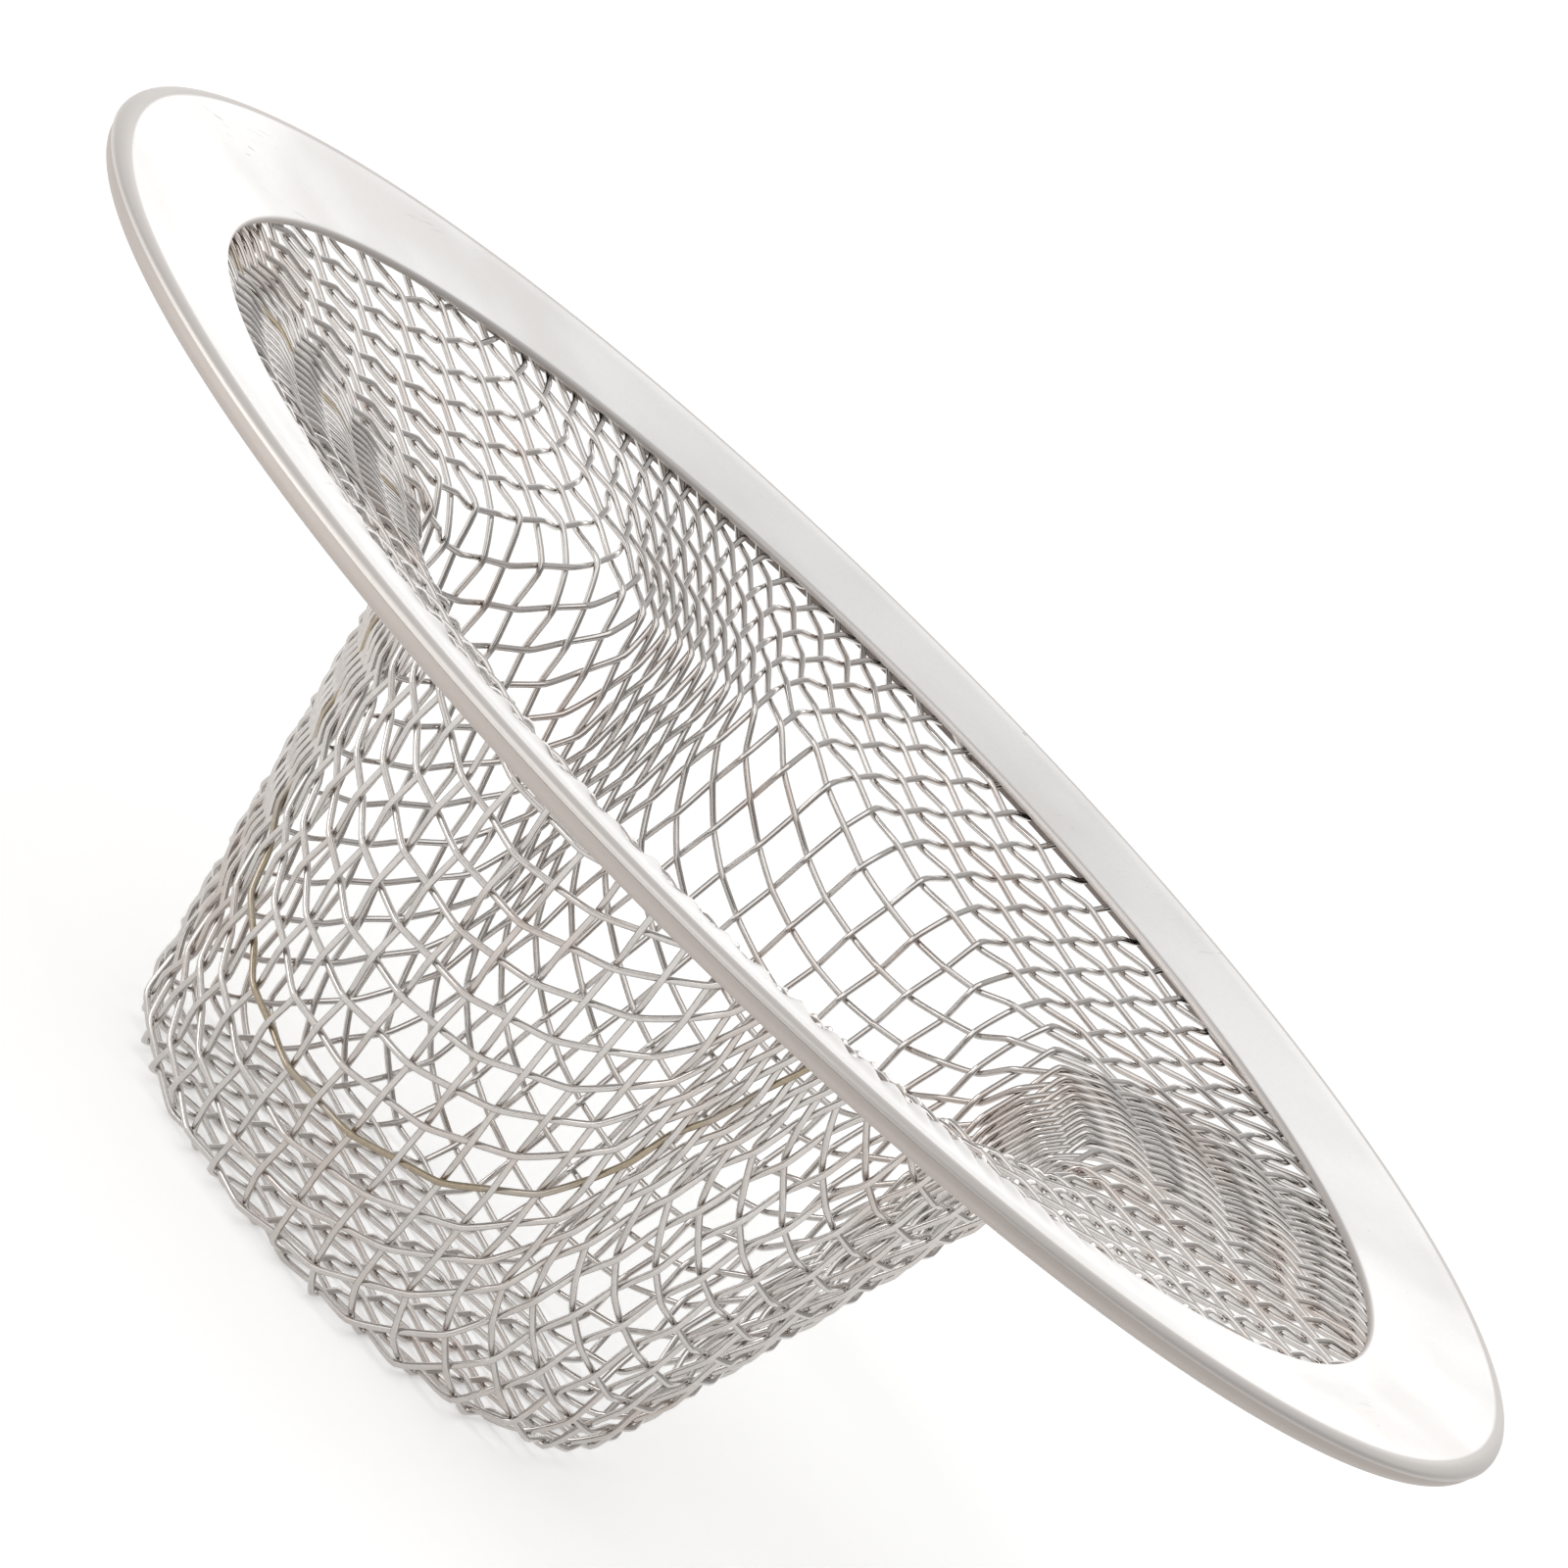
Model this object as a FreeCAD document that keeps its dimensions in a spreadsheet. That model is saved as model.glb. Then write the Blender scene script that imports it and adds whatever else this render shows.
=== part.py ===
import FreeCAD, Part
import math
import os

import Sketcher
from FreeCAD import Vector

# Sink strainer: a hat-shaped basket of plain-woven steel wire, its brim held between two stamped
# rim rings. The part stands on the basket's floor: +Z is up along its axis, and the origin is the
# centre of that floor. Lengths are in millimetres.

SIZES = (
    ("rim_diameter", 110.0, "outside of the rim"),
    ("flange_width", 9.6, "upper rim ring from its outside to the mouth"),
    ("rim_height", 40.0, "floor to the outer corner of the rim's upper face"),
    ("slope_share", 0.19, "rise of the rim and of the basket's brim for each unit of radius"),
    ("sheet_thickness", 0.45, "metal of both rim rings"),
    ("shoulder_radius", 0.6, "rounding between the rim's upper face and its skirt"),
    ("seam_gap", 0.06, "between the edges of the two rim rings"),
    ("mouth_edge_radius", 0.2, "rounding of the upper ring's edge at the mouth"),
    ("lower_inset", 0.2, "lower ring's outer wall behind the upper ring's skirt"),
    ("lower_corner_radius", 0.6, "rounding under the lower ring's outer wall"),
    ("lower_mouth_step", 3.0, "lower ring's opening behind the upper ring's"),
    ("neck_radius", 26.5, "basket radius where wall and brim would meet"),
    ("neck_bend", 3.5, "bend radius from wall to brim"),
    ("wall_spread", 7.95, "how far the wall leans out from the floor up to the neck"),
    ("floor_bend", 3.0, "bend radius from floor to wall"),
    ("wire_diameter", 0.37, "basket wire"),
    ("weave_clearance", 0.14, "between two wires where they cross"),
    ("clamp_clearance", 0.03, "between the weave and each rim ring"),
    ("wire_pairs", 25, "pairs of wires each way, one wire of a pair each side of the axis"),
)

# Part of the rim's outer edge, from the top down, that the upper ring's skirt covers.
SKIRT_SHARE = 0.54
# The largest roundings, as parts of the walls that carry them.
SHOULDER_LIMIT_SHARE = 0.8
MOUTH_EDGE_LIMIT_SHARE = 0.45
LOWER_CORNER_LIMIT_SHARE = 0.8
# Part of the flange's width that the wires run in between the rings.
REACH_SHARE = 0.6
# Part of a cell left between the outermost wire and the mouth.
EDGE_SHARE = 0.2
# Part of a run that the bend at a crossing takes up on either side.
BEND_SHARE = 0.45
# The least turn at a crossing, in degrees, that is made as a bend.
LEAST_TURN = 0.02
# Passes that bring the bends of a wire onto their crossings.
BEND_PASSES = 12
# Largest difference allowed between a wire's volume and its section times its length.
VOLUME_SHARE = 0.001

AXIS = Vector(0, 0, 1)
CENTRE = Vector(0, 0, 0)
HALF_TURN = 180
QUARTER_TURN = 90

doc = FreeCAD.newDocument("sink_strainer")


def make_sheet():
    """The spreadsheet of driving dimensions, one row each: name, value and meaning."""
    table = doc.addObject("Spreadsheet::Sheet", "sizes")
    for row, (alias, value, meaning) in enumerate(SIZES, start=1):
        table.set(f"A{row}", alias)
        table.set(f"B{row}", str(value))
        table.set(f"C{row}", meaning)
        table.setAlias(f"B{row}", alias)
    doc.recompute()
    return table


sheet = make_sheet()


def size(alias):
    """A driving dimension as the spreadsheet holds it."""
    return float(sheet.get(alias))


# Rim rings, as expressions on the spreadsheet

RIM_RADIUS = "(sizes.rim_diameter / 2)"
MOUTH_RADIUS = f"({RIM_RADIUS} - sizes.flange_width)"
SKIRT_INSIDE = f"({RIM_RADIUS} - sizes.sheet_thickness)"
LOWER_OUTSIDE = f"({RIM_RADIUS} - sizes.lower_inset)"
LOWER_INSIDE = f"({LOWER_OUTSIDE} - sizes.sheet_thickness)"
LOWER_MOUTH = f"({MOUTH_RADIUS} + sizes.lower_mouth_step)"
# The space for the weave: two wires on top of each other, with the clearances around them.
WEAVE_SPACE = "(2 * sizes.wire_diameter + sizes.weave_clearance + 2 * sizes.clamp_clearance)"
# Height through a sloping layer for each unit of its thickness.
LEAN = "sqrt(1 + sizes.slope_share ^ 2)"
# The rim's outer edge: both rings and the weave between them, divided by the seam.
EDGE_HEIGHT = f"({LEAN} * (2 * sizes.sheet_thickness + {WEAVE_SPACE}))"
SKIRT_HEIGHT = f"({SKIRT_SHARE} * {EDGE_HEIGHT})"
SEAM_HEIGHT = f"(sizes.rim_height - {SKIRT_HEIGHT})"
LOWER_WALL_HEIGHT = f"({EDGE_HEIGHT} - {SKIRT_HEIGHT} - sizes.seam_gap)"


def sloped(radius, depth):
    """Height at a radius of the sloping face that lies a depth below the rim's upper face."""
    fall = f"sizes.slope_share * ({RIM_RADIUS} - {radius})"
    return f"(sizes.rim_height - {fall} - {LEAN} * ({depth}))"


UPPER_DEPTH = "0"
UPPER_UNDERSIDE = "sizes.sheet_thickness"
LOWER_TOPSIDE = f"sizes.sheet_thickness + {WEAVE_SPACE}"
LOWER_UNDERSIDE = f"2 * sizes.sheet_thickness + {WEAVE_SPACE}"


def origin_plane(body, role):
    """One of a body's own origin planes."""
    for feature in body.Origin.OriginFeatures:
        if feature.Role == role:
            return feature
    raise ValueError(role)


def outline_sketch(body, corners):
    """A closed outline of straight lines in the plane of radius and height."""
    sketch = body.newObject("Sketcher::SketchObject", body.Name + "_outline")
    sketch.AttachmentSupport = [(origin_plane(body, "XZ_Plane"), "")]
    sketch.MapMode = "FlatFace"
    # Drawn first at the sizes of the day, so that the constraints only hold it there.
    places = [Vector(sheet.evalExpression(r), sheet.evalExpression(z), 0) for r, z in corners]
    count = len(corners)
    for index in range(count):
        sketch.addGeometry(Part.LineSegment(places[index], places[(index + 1) % count]), False)
    for index in range(count):
        sketch.addConstraint(Sketcher.Constraint("Coincident", index, 2, (index + 1) % count, 1))
    for index, (radius, height) in enumerate(corners):
        for kind, place, expression in (("DistanceX", places[index].x, radius),
                                        ("DistanceY", places[index].y, height)):
            number = sketch.addConstraint(Sketcher.Constraint(kind, -1, 1, index, 1, place))
            sketch.setExpression(f"Constraints[{number}]", expression)
    doc.recompute()
    return sketch


def round_corner(body, corner, radius):
    """Round the circular edge that an outline's corner makes in a ring."""
    base = body.Tip
    # A point of that edge a quarter turn away from the outline, where no other edge passes.
    probe = Part.Vertex(0, sheet.evalExpression(corner[0]), sheet.evalExpression(corner[1]))
    distances = [edge.distToShape(probe)[0] for edge in base.Shape.Edges]
    nearest = distances.index(min(distances)) + 1
    fillet = body.newObject("PartDesign::Fillet", body.Name + "_rounding")
    fillet.Base = (base, [f"Edge{nearest}"])
    fillet.setExpression("Radius", radius)
    doc.recompute()


def make_ring(label, corners, roundings):
    """A stamped ring: an outline turned about the axis, with some of its corners rounded."""
    body = doc.addObject("PartDesign::Body", label)
    body.Label = label
    sketch = outline_sketch(body, corners)
    turned = body.newObject("PartDesign::Revolution", label + "_turned")
    turned.Profile = sketch
    turned.ReferenceAxis = (sketch, ["V_Axis"])
    turned.Angle = 2 * HALF_TURN
    doc.recompute()
    for index, radius in roundings:
        round_corner(body, corners[index], radius)
    return body


def make_upper_ring():
    """The rim that shows: a sloping flange with a rounded shoulder and a short skirt."""
    corners = (
        (MOUTH_RADIUS, sloped(MOUTH_RADIUS, UPPER_DEPTH)),
        (RIM_RADIUS, sloped(RIM_RADIUS, UPPER_DEPTH)),
        (RIM_RADIUS, SEAM_HEIGHT),
        (SKIRT_INSIDE, SEAM_HEIGHT),
        (SKIRT_INSIDE, sloped(SKIRT_INSIDE, UPPER_UNDERSIDE)),
        (MOUTH_RADIUS, sloped(MOUTH_RADIUS, UPPER_UNDERSIDE)),
    )
    shoulder = f"min(sizes.shoulder_radius; {SHOULDER_LIMIT_SHARE} * {SKIRT_HEIGHT})"
    mouth_edge = f"min(sizes.mouth_edge_radius; {MOUTH_EDGE_LIMIT_SHARE} * sizes.sheet_thickness)"
    roundings = ((1, shoulder), (0, mouth_edge), (5, mouth_edge))
    return make_ring("upper_rim_ring", corners, roundings)


def make_lower_ring():
    """The backing ring: a sloping flange with its outer wall turned up to the seam."""
    wall_top = f"({SEAM_HEIGHT} - sizes.seam_gap)"
    corners = (
        (LOWER_MOUTH, sloped(LOWER_MOUTH, LOWER_TOPSIDE)),
        (LOWER_INSIDE, sloped(LOWER_INSIDE, LOWER_TOPSIDE)),
        (LOWER_INSIDE, wall_top),
        (LOWER_OUTSIDE, wall_top),
        (LOWER_OUTSIDE, sloped(LOWER_OUTSIDE, LOWER_UNDERSIDE)),
        (LOWER_MOUTH, sloped(LOWER_MOUTH, LOWER_UNDERSIDE)),
    )
    limit = f"{LOWER_CORNER_LIMIT_SHARE} * {LOWER_WALL_HEIGHT}"
    return make_ring("lower_rim_ring", corners, ((4, f"min(sizes.lower_corner_radius; {limit})"),))


# Middle surface of the weave

crown = (size("wire_diameter") + size("weave_clearance")) / 2
mouth_radius = size("rim_diameter") / 2 - size("flange_width")
wire_end_radius = mouth_radius + REACH_SHARE * size("flange_width")


class Basket:
    """The surface through the middle of the weave: floor, wall and brim, joined by two bends.

    The profile is a chain of runs, each with its start, its heading, its length and how fast it
    turns. The brim is the last run, and it has no end.
    """

    def __init__(self):
        slope = size("slope_share")
        weave_space = float(sheet.evalExpression(WEAVE_SPACE))
        drop = (size("sheet_thickness") + weave_space / 2) * math.hypot(1, slope)
        floor_height = crown + size("wire_diameter") / 2
        fall = slope * (size("rim_diameter") / 2 - size("neck_radius"))
        rise = size("rim_height") - fall - drop - floor_height
        spread = size("wall_spread")
        wall_heading = math.atan2(rise, spread)
        brim_heading = math.atan(slope)
        neck_turn = brim_heading - wall_heading
        floor_cut = size("floor_bend") * math.tan(wall_heading / 2)
        neck_cut = size("neck_bend") * math.tan(-neck_turn / 2)
        self.runs = []
        self.end = (0.0, floor_height, 0.0)
        self.length = 0.0
        self.add_run(size("neck_radius") - spread - floor_cut, 0.0)
        self.add_run(size("floor_bend") * wall_heading, 1 / size("floor_bend"))
        self.add_run(math.hypot(rise, spread) - floor_cut - neck_cut, 0.0)
        self.add_run(-size("neck_bend") * neck_turn, -1 / size("neck_bend"))
        self.brim_start = self.length
        self.brim_heading = brim_heading
        self.add_run(math.inf, 0.0)

    def add_run(self, length, turn):
        """Add a run at the profile's end."""
        self.runs.append((self.length, self.end, turn))
        if length < math.inf:
            self.length += length
            self.end = self.profile(self.length)

    def profile(self, along):
        """Radius, height and heading of the profile at a length from the axis."""
        start, (radius, height, heading), turn = [run for run in self.runs if run[0] <= along][-1]
        past = along - start
        if turn == 0:
            return radius + past * math.cos(heading), height + past * math.sin(heading), heading
        headed = heading + past * turn
        radius += (math.sin(headed) - math.sin(heading)) / turn
        height -= (math.cos(headed) - math.cos(heading)) / turn
        return radius, height, headed

    def reach(self, radius):
        """Length along the profile to a radius of the brim."""
        return self.brim_start + (radius - self.end[0]) / math.cos(self.brim_heading)

    def point(self, node):
        """The place on the surface of a node, a pair of lengths along the profile."""
        along = math.hypot(*node)
        radius, height, _ = self.profile(along)
        part = radius / along if along else 1.0
        return Vector(node[0] * part, node[1] * part, height)

    def inward(self, node):
        """The direction square to the surface, towards the inside of the basket."""
        along = math.hypot(*node)
        heading = self.profile(along)[2]
        across = -math.sin(heading) / along
        return Vector(node[0] * across, node[1] * across, math.cos(heading))


basket = Basket()
cell = basket.reach(mouth_radius) / (size("wire_pairs") + EDGE_SHARE)
half_cell = cell / 2


# Lie of the wires: a net whose half cells all have the same sides, as wires don't stretch

NEWTON_STEPS = 30
NEWTON_SHARE = 1e-5
CLOSE_ENOUGH_SHARE = 1e-8


def settle(first, second, guess):
    """The node half a cell from two others, starting from a guess."""
    nudge = half_cell * NEWTON_SHARE

    def misses(node):
        place = basket.point(node)
        return [(place - other).Length - half_cell for other in (first, second)]

    x, y = guess
    for _ in range(NEWTON_STEPS):
        here = misses((x, y))
        if max(map(abs, here)) < half_cell * CLOSE_ENOUGH_SHARE:
            break
        along_x = [(a - b) / nudge for a, b in zip(misses((x + nudge, y)), here)]
        along_y = [(a - b) / nudge for a, b in zip(misses((x, y + nudge)), here)]
        scale = along_x[0] * along_y[1] - along_x[1] * along_y[0]
        x -= (here[0] * along_y[1] - here[1] * along_y[0]) / scale
        y -= (here[1] * along_x[0] - here[0] * along_x[1]) / scale
    return x, y


def step_out(along):
    """The length along the profile of the next node straight out from the axis."""
    start = basket.point((along, 0.0))
    ahead = along + half_cell
    for _ in range(NEWTON_STEPS):
        ahead -= (basket.point((ahead, 0.0)) - start).Length - half_cell
    return ahead


def lay_net():
    """One quarter of the net, by rows out from the axis, a little past the wires' ends.

    The two edges of the quarter run straight out from the axis. The quarter is alike on both
    sides of its diagonal, so only one side of that is worked out.
    """
    limit = basket.reach(wire_end_radius) + 2 * cell
    edge = [0.0]
    while edge[-1] < limit:
        edge.append(step_out(edge[-1]))
    net = {}
    for row, along in enumerate(edge):
        net[row, 0] = (along, 0.0)
        net[0, row] = (0.0, along)
        for column in range(1, row + 1):
            before = net.get((row - 1, column))
            beside = net.get((row, column - 1))
            behind = net.get((row - 1, column - 1))
            if before is None or beside is None or math.hypot(*beside) > limit:
                break
            guess = (before[0] + beside[0] - behind[0], before[1] + beside[1] - behind[1])
            x, y = settle(basket.point(before), basket.point(beside), guess)
            net[row, column] = (x, y)
            net[column, row] = (y, x)
    return net


net = lay_net()


# Wires

def crossings(row):
    """Where a wire crosses the others, on alternate sides of the surface, from end to end."""
    columns = []
    column = 1
    while True:
        columns.append(column)
        radius = basket.profile(math.hypot(*net[row, column]))[0]
        if radius > wire_end_radius and column > 1:
            columns.pop()
            break
        column += 2
    places = []
    for column in [-column for column in reversed(columns)] + columns:
        x, y = net[row, abs(column)]
        node = (x, math.copysign(y, column))
        side = 1 if (row + column) // 2 % 2 == 0 else -1
        places.append(basket.point(node) + basket.inward(node) * (side * crown))
    return places


def bend(before, corner, after):
    """Start, middle and end of the arc that rounds a corner, or None where it hardly turns."""
    back = before - corner
    ahead = after - corner
    opening = back.getAngle(ahead)
    if math.pi - opening < math.radians(LEAST_TURN):
        return None
    cut = BEND_SHARE * min(back.Length, ahead.Length)
    start = corner + back.normalize() * cut
    end = corner + ahead.normalize() * cut
    inset = cut / math.cos(opening / 2) - cut * math.tan(opening / 2)
    middle = corner + (start + end - corner * 2).normalize() * inset
    return start, middle, end


def corners_for(places):
    """Corners of a path whose bends pass through the crossings."""
    corners = list(places)
    for _ in range(BEND_PASSES):
        moved = list(corners)
        for index in range(1, len(corners) - 1):
            arc = bend(*corners[index - 1:index + 2])
            reached = arc[1] if arc else corners[index]
            moved[index] = corners[index] + places[index] - reached
        corners = moved
    return corners


def make_wire(row):
    """One crimped wire: straight runs joined by tangent arcs, swept with a round section."""
    corners = corners_for(crossings(row))
    edges = []
    last = corners[0]
    for index in range(1, len(corners) - 1):
        arc = bend(*corners[index - 1:index + 2])
        if arc is None:
            continue
        edges.append(Part.LineSegment(last, arc[0]).toShape())
        edges.append(Part.Arc(*arc).toShape())
        last = arc[2]
    edges.append(Part.LineSegment(last, corners[-1]).toShape())
    path = Part.Wire(edges)
    section = Part.makeCircle(size("wire_diameter") / 2, corners[0], corners[1] - corners[0])
    wire = path.makePipeShell([Part.Wire([section])], True, False)
    expected = path.Length * math.pi * size("wire_diameter") ** 2 / 4
    if abs(wire.Volume - expected) > VOLUME_SHARE * expected:
        raise ValueError(f"wire {row}: volume {wire.Volume:.4f}, expected {expected:.4f}")
    return wire


def add_wire_pairs(number):
    """The warp and the weft pair at one distance from the axis.

    The two wires of a pair are a half turn apart. The weft is the warp turned by a quarter.
    """
    wire = make_wire(2 * number - 1)
    pair = Part.makeCompound([wire, wire.rotated(CENTRE, AXIS, HALF_TURN)])
    features = []
    for label, turn in (("warp_wire_pair", 0), ("weft_wire_pair", QUARTER_TURN)):
        feature = doc.addObject("Part::Feature", f"{label}_{number:02d}")
        feature.Label = f"{label}_{number:02d}"
        feature.Shape = pair
        feature.Placement = FreeCAD.Placement(CENTRE, FreeCAD.Rotation(AXIS, turn))
        features.append(feature)
    return features


def check(features):
    """Stop if an object failed, or if a sub-part has no sound shape."""
    for thing in doc.Objects:
        if {"Invalid", "Error"} & set(thing.State):
            raise ValueError(f"{thing.Name}: {thing.State}")
    for feature in features:
        if feature.Shape.isNull() or not feature.Shape.isValid():
            raise ValueError(f"{feature.Label}: no sound shape")


def main():
    """Build every sub-part, check them all and write their files."""
    features = [make_upper_ring(), make_lower_ring()]
    for number in range(1, int(size("wire_pairs")) + 1):
        features.extend(add_wire_pairs(number))
    doc.recompute()
    check(features)
    os.makedirs("parts", exist_ok=True)
    for feature in features:
        feature.Shape.exportStep(f"parts/{feature.Label}.step")
    print(f"{len(features)} sub-parts, cell {cell:.3f} mm")


main()
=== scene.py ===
"""Looks of a sink strainer: a hat-shaped basket of woven steel wire in a satin steel rim."""

import logging
import math
from dataclasses import dataclass, field
from enum import Enum

import bmesh
import bpy
from mathutils import Matrix, Vector, noise


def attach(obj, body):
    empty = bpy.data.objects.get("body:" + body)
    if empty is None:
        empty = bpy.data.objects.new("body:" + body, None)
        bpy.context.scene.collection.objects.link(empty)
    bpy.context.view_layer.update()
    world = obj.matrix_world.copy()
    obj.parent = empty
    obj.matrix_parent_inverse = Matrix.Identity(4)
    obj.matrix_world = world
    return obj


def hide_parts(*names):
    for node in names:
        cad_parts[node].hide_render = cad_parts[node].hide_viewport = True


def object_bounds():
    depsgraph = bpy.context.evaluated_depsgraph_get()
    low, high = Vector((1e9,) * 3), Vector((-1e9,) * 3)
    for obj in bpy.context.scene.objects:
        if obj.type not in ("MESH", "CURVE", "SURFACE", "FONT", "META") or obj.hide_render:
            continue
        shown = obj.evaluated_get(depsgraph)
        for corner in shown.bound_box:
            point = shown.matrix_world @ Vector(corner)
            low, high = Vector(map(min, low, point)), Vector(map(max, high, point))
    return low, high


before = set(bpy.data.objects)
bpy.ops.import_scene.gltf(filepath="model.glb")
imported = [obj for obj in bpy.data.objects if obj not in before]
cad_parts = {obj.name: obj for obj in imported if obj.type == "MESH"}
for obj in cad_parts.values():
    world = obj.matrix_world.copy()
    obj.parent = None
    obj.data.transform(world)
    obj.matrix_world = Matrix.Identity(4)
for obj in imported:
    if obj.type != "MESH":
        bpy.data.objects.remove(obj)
CAD_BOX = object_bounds()

MM = 0.001
BODY = "root"
LIP_SHADE = "lip_shade"
AXIS = Vector((0, 0, 1))
CENTRE = Vector((0, 0, 0))
WHITE = "#FFFFFF"
# The sRGB curve: a straight toe, then a power.
TOE_END = 0.04045
TOE_SLOPE = 12.92
CURVE_OFFSET = 0.055
CURVE_POWER = 2.4
# Places of the mix node's sockets, several of which share a name.
COLOUR_A, COLOUR_B, COLOUR_OUT = 6, 7, 2
NUMBER_A, NUMBER_B, NUMBER_OUT = 2, 3, 0

log = logging.getLogger("sink_strainer")


class Family(Enum):
    """The two families of wires in the weave, with the turn that lays a wire into its family."""

    WARP = 0.0
    WEFT = math.pi / 2

    @property
    def node_stem(self) -> str:
        """Start of the names of the family's nodes."""
        return f"{self.name.lower()}_wire_pair"


class Slot(Enum):
    """The record's material slots."""

    RIM = "rim_steel"
    WIRE = "wire_steel"


def linear(hex_colour: str) -> tuple[float, float, float, float]:
    """Turn an sRGB hex colour to linear light.

    Args:
        hex_colour: six hex digits after a hash sign.

    Returns:
        Red, green, blue and an alpha of one.
    """
    shares = [int(hex_colour[start:start + 2], 16) / 255 for start in (1, 3, 5)]
    light = [share / TOE_SLOPE if share <= TOE_END
             else ((share + CURVE_OFFSET) / (1 + CURVE_OFFSET)) ** CURVE_POWER for share in shares]
    return light[0], light[1], light[2], 1.0


def smooth(share: float) -> float:
    """Ease a share from 0 to 1, level at both ends."""
    held = min(max(share, 0.0), 1.0)
    return held * held * (3 - 2 * held)


def add_node(tree: bpy.types.NodeTree, kind: str, settings: dict | None = None,
             values: dict | None = None, links: dict | None = None) -> bpy.types.Node:
    """Add a node with its settings, its sockets' values and the sockets that feed it.

    Args:
        tree: the node tree.
        kind: the node's type.
        settings: properties of the node.
        values: constants for input sockets.
        links: output sockets that feed input sockets.

    Returns:
        The node.
    """
    node = tree.nodes.new(kind)
    for name, value in (settings or {}).items():
        setattr(node, name, value)
    for socket, value in (values or {}).items():
        node.inputs[socket].default_value = value
    for socket, source in (links or {}).items():
        tree.links.new(source, node.inputs[socket])
    return node


@dataclass(frozen=True, kw_only=True)
class SteelFinish:
    """Stainless steel: its two tones, how rough it is and how even its surface is.

    Lengths are in millimetres.
    """

    name: str
    pale: str
    deep: str
    warm: str
    warm_share: float
    roughness_low: float
    roughness_high: float
    grain: float
    patch: float
    bump_depth: float
    wave: float
    wave_depth: float
    grain_detail: float = 3.0
    patch_detail: float = 2.0
    wave_detail: float = 1.0
    warm_band: tuple[float, float] = (0.5, 0.7)
    rough_band: tuple[float, float] = (0.35, 0.65)

    def worked(self, tree: bpy.types.NodeTree, place: bpy.types.NodeSocket, tone: bpy.types.NodeSocket,
               rough: bpy.types.NodeSocket) -> tuple[bpy.types.NodeSocket, bpy.types.NodeSocket]:
        """Tone and roughness as the making and the use of the piece have left them."""
        return tone, rough

    def material(self) -> bpy.types.Material:
        """Make the material.

        Returns:
            The finished material.
        """
        made = bpy.data.materials.new(self.name)
        made.use_nodes = True
        tree = made.node_tree
        shader = tree.nodes["Principled BSDF"]
        shader.inputs["Metallic"].default_value = 1.0
        place = add_node(tree, "ShaderNodeTexCoord").outputs["Object"]
        # Grain of the rolled or drawn metal.
        grain = add_node(tree, "ShaderNodeTexNoise",
                         values={"Scale": 1 / (self.grain * MM), "Detail": self.grain_detail},
                         links={"Vector": place}).outputs["Fac"]
        # Patches where handling has left the metal a little duller.
        patch = add_node(tree, "ShaderNodeTexNoise",
                         values={"Scale": 1 / (self.patch * MM), "Detail": self.patch_detail},
                         links={"Vector": place}).outputs["Fac"]
        # Slow waves that making and pressing have left in the surface.
        wave = add_node(tree, "ShaderNodeTexNoise",
                        values={"Scale": 1 / (self.wave * MM), "Detail": self.wave_detail},
                        links={"Vector": place}).outputs["Fac"]
        tone = add_node(tree, "ShaderNodeMix", {"data_type": "RGBA"},
                        {COLOUR_A: linear(self.deep), COLOUR_B: linear(self.pale)},
                        {"Factor": grain}).outputs[COLOUR_OUT]
        warmth = add_node(tree, "ShaderNodeMapRange",
                          values={"From Min": self.warm_band[0], "From Max": self.warm_band[1],
                                  "To Max": self.warm_share}, links={"Value": patch}).outputs["Result"]
        tone = add_node(tree, "ShaderNodeMix", {"data_type": "RGBA"}, {COLOUR_B: linear(self.warm)},
                        {"Factor": warmth, COLOUR_A: tone}).outputs[COLOUR_OUT]
        rough = add_node(tree, "ShaderNodeMapRange",
                         values={"From Min": self.rough_band[0], "From Max": self.rough_band[1],
                                 "To Min": self.roughness_low, "To Max": self.roughness_high},
                         links={"Value": patch}).outputs["Result"]
        tone, rough = self.worked(tree, place, tone, rough)
        tree.links.new(tone, shader.inputs["Base Color"])
        tree.links.new(rough, shader.inputs["Roughness"])
        wavy = add_node(tree, "ShaderNodeBump", values={"Distance": self.wave_depth * MM},
                        links={"Height": wave}).outputs["Normal"]
        bump = add_node(tree, "ShaderNodeBump", values={"Distance": self.bump_depth * MM},
                        links={"Height": grain, "Normal": wavy}).outputs["Normal"]
        tree.links.new(bump, shader.inputs["Normal"])
        return made


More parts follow.
